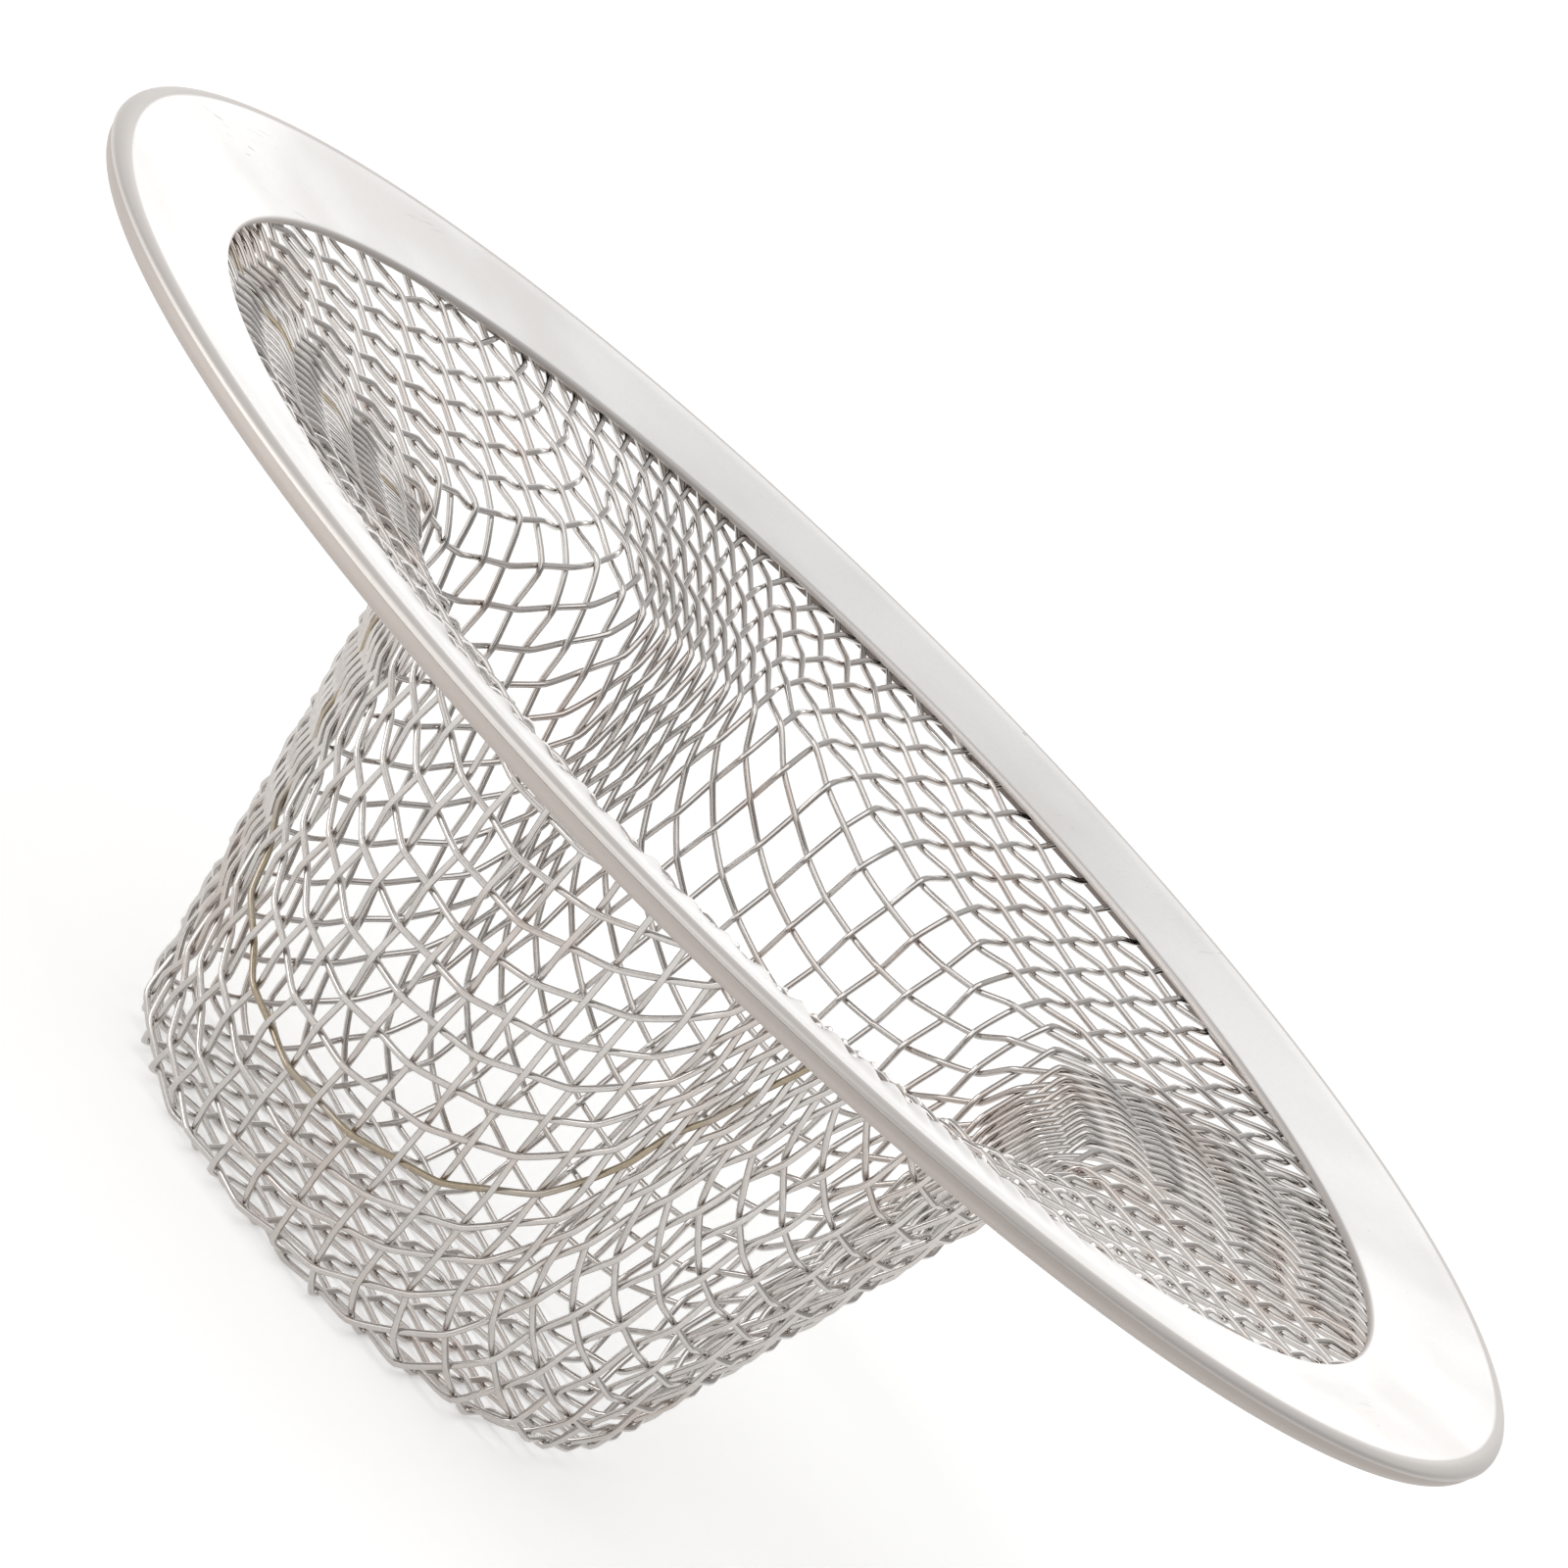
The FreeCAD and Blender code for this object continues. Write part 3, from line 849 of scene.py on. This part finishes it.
@dataclass(frozen=True)
class Lamp:
    """A soft lamp: where it hangs, as shares along the floor and up, its size in metres and its watts."""

    name: str
    away: float
    side: float
    rise: float
    width: float
    height: float
    power: float
    distance: float = 0.7


LAMPS = (Lamp("key", away=-0.75, side=-0.35, rise=0.75, width=1.0, height=1.0, power=3.5),
         Lamp("left", away=-0.25, side=-0.9, rise=0.17, width=0.5, height=0.22, power=1.1))


@dataclass
class Studio:
    """Floor, soft light and the camera at the photograph's angle. Metres, but for the lens."""

    floor_size: float = 16.0
    floor_colour: str = "#F4F4F3"
    floor_roughness: float = 0.9
    floor_lift: float = 0.34
    far_lift: float = 0.3
    glow_front: float = 0.4
    glow_full: float = 0.12
    far_begins: float = 0.1
    far_full: float = 0.9
    front_light: float = 0.22
    side_light: float = 0.5
    top_light: float = 0.25
    back_light: float = 1.75
    front_band: tuple[float, float] = (-0.8, 0.1)
    back_band: tuple[float, float] = (0.68, 1.0)
    top_band: tuple[float, float] = (0.55, 0.9)
    camera_turn: float = math.radians(23)
    camera_elevation: float = math.radians(11.3)
    camera_roll: float = math.radians(45.02)
    camera_distance: float = 0.3783
    target_height: float = 0.03665
    target_side: float = -0.000942
    lens: float = 150.67
    sensor: float = 36.0
    clip_start: float = 0.01
    clip_end: float = 100.0

    def __post_init__(self) -> None:
        """Work out the directions along the floor to the camera's right and away from it."""
        self.side = Vector((math.cos(self.camera_turn), math.sin(self.camera_turn), 0))
        self.away = Vector((-math.sin(self.camera_turn), math.cos(self.camera_turn), 0))

    def place_camera(self) -> None:
        """Set the camera at the photograph's angle."""
        ahead = self.away * math.cos(self.camera_elevation) - AXIS * math.sin(self.camera_elevation)
        above = self.side.cross(ahead)
        right = self.side * math.cos(self.camera_roll) + above * math.sin(self.camera_roll)
        up = above * math.cos(self.camera_roll) - self.side * math.sin(self.camera_roll)
        target = self.side * self.target_side + AXIS * self.target_height
        data = bpy.data.cameras.new("camera")
        data.lens = self.lens
        data.sensor_width = self.sensor
        data.clip_start = self.clip_start
        data.clip_end = self.clip_end
        camera = bpy.data.objects.new("camera", data)
        bpy.context.scene.collection.objects.link(camera)
        turned = Matrix((right, up, -ahead)).transposed().to_4x4()
        camera.matrix_world = Matrix.Translation(target - ahead * self.camera_distance) @ turned
        bpy.context.scene.camera = camera

    def lay_floor(self) -> None:
        """Lay a pale floor that stays white in view and keeps the strainer's shadow."""
        shape = bmesh.new()
        bmesh.ops.create_grid(shape, x_segments=1, y_segments=1, size=self.floor_size / 2)
        bmesh.ops.translate(shape, verts=shape.verts, vec=(0, 0, CAD_BOX[0][2]))
        mesh = bpy.data.meshes.new("floor")
        shape.to_mesh(mesh)
        shape.free()
        made = bpy.data.materials.new("matt_white_paper")
        made.use_nodes = True
        tree = made.node_tree
        shader = tree.nodes["Principled BSDF"]
        shader.inputs["Base Color"].default_value = linear(self.floor_colour)
        shader.inputs["Roughness"].default_value = self.floor_roughness
        shader.inputs["Specular IOR Level"].default_value = 0.0
        shader.inputs["Emission Color"].default_value = linear(WHITE)
        # The paper glows under the strainer, more where the lamps fade behind it, and is plain in front.
        place = add_node(tree, "ShaderNodeTexCoord").outputs["Object"]
        behind = add_node(tree, "ShaderNodeVectorMath", {"operation": "DOT_PRODUCT"}, {1: self.away},
                          {0: place}).outputs["Value"]
        glow = add_node(tree, "ShaderNodeMapRange", {"interpolation_type": "SMOOTHSTEP"},
                        {"From Min": -self.glow_front, "From Max": -self.glow_full,
                         "To Max": self.floor_lift}, {"Value": behind}).outputs["Result"]
        far = add_node(tree, "ShaderNodeMapRange", {"interpolation_type": "SMOOTHSTEP"},
                       {"From Min": self.far_begins, "From Max": self.far_full, "To Max": self.far_lift},
                       {"Value": behind}).outputs["Result"]
        glow = add_node(tree, "ShaderNodeMath", {"operation": "ADD"}, links={0: glow, 1: far}).outputs[0]
        tree.links.new(add_node(tree, "ShaderNodeMath", {"operation": "MULTIPLY"},
                                links={0: self.seen_share(tree), 1: glow}).outputs[0],
                       shader.inputs["Emission Strength"])
        mesh.materials.append(made)
        floor = bpy.data.objects.new("floor", mesh)
        bpy.context.scene.collection.objects.link(floor)

    @staticmethod
    def seen_share(tree: bpy.types.NodeTree) -> bpy.types.NodeSocket:
        """Whether a ray shows a surface: to the camera, in a reflection or through glass.

        Args:
            tree: the node tree.

        Returns:
            The socket that gives 1 for such rays.
        """
        path = add_node(tree, "ShaderNodeLightPath").outputs
        seen = add_node(tree, "ShaderNodeMath", {"operation": "MAXIMUM"},
                        links={0: path["Is Camera Ray"], 1: path["Is Glossy Ray"]}).outputs[0]
        return add_node(tree, "ShaderNodeMath", {"operation": "MAXIMUM"},
                        links={0: seen, 1: path["Is Transmission Ray"]}).outputs[0]

    def light(self) -> None:
        """Hang the soft lamps and set the world."""
        world = bpy.data.worlds.new("studio")
        bpy.context.scene.world = world
        world.use_nodes = True
        tree = world.node_tree
        room = tree.nodes["Background"]
        room.inputs["Color"].default_value = linear(WHITE)
        # The room is dim on the camera's side, with a pale ceiling and a white wall behind the strainer.
        towards = add_node(tree, "ShaderNodeTexCoord").outputs["Generated"]
        depth = add_node(tree, "ShaderNodeVectorMath", {"operation": "DOT_PRODUCT"}, {1: self.away},
                         {0: towards}).outputs["Value"]
        near = add_node(tree, "ShaderNodeMapRange", {"interpolation_type": "SMOOTHSTEP"},
                        {"From Min": self.front_band[0], "From Max": self.front_band[1],
                         "To Min": self.front_light, "To Max": self.side_light},
                        {"Value": depth}).outputs["Result"]
        far = add_node(tree, "ShaderNodeMapRange", {"interpolation_type": "SMOOTHSTEP"},
                       {"From Min": self.back_band[0], "From Max": self.back_band[1],
                        "To Max": self.back_light - self.side_light}, {"Value": depth}).outputs["Result"]
        rise = add_node(tree, "ShaderNodeVectorMath", {"operation": "DOT_PRODUCT"}, {1: AXIS},
                        {0: towards}).outputs["Value"]
        top = add_node(tree, "ShaderNodeMapRange", {"interpolation_type": "SMOOTHSTEP"},
                       {"From Min": self.top_band[0], "From Max": self.top_band[1],
                        "To Max": self.top_light}, {"Value": rise}).outputs["Result"]
        strength = add_node(tree, "ShaderNodeMath", {"operation": "ADD"}, links={0: near, 1: far}).outputs[0]
        strength = add_node(tree, "ShaderNodeMath", {"operation": "ADD"},
                            links={0: strength, 1: top}).outputs[0]
        tree.links.new(strength, room.inputs["Strength"])
        for lamp in LAMPS:
            self.hang(lamp)

    def hang(self, lamp: Lamp) -> None:
        """Hang a lamp so that it shines at the strainer."""
        data = bpy.data.lights.new(lamp.name, "AREA")
        data.shape = "RECTANGLE"
        data.size = lamp.width
        data.size_y = lamp.height
        data.energy = lamp.power
        hung = bpy.data.objects.new(lamp.name, data)
        bpy.context.scene.collection.objects.link(hung)
        towards = self.away * lamp.away + self.side * lamp.side + AXIS * lamp.rise
        turned = towards.to_track_quat("Z", "Y").to_matrix().to_4x4()
        hung.matrix_world = Matrix.Translation(towards.normalized() * lamp.distance) @ turned

    def build(self) -> None:
        """Lay the floor, hang the lamps and set the camera."""
        self.lay_floor()
        self.light()
        self.place_camera()
        bpy.context.scene.view_settings.view_transform = "Standard"


def main() -> None:
    """Build the strainer and its studio."""
    logging.basicConfig(level=logging.INFO)
    rim = Rim()
    basket = Basket(rim)
    rim.build(basket.lip_bumps())
    basket.build()
    Studio().build()


if __name__ == "__main__":
    main()
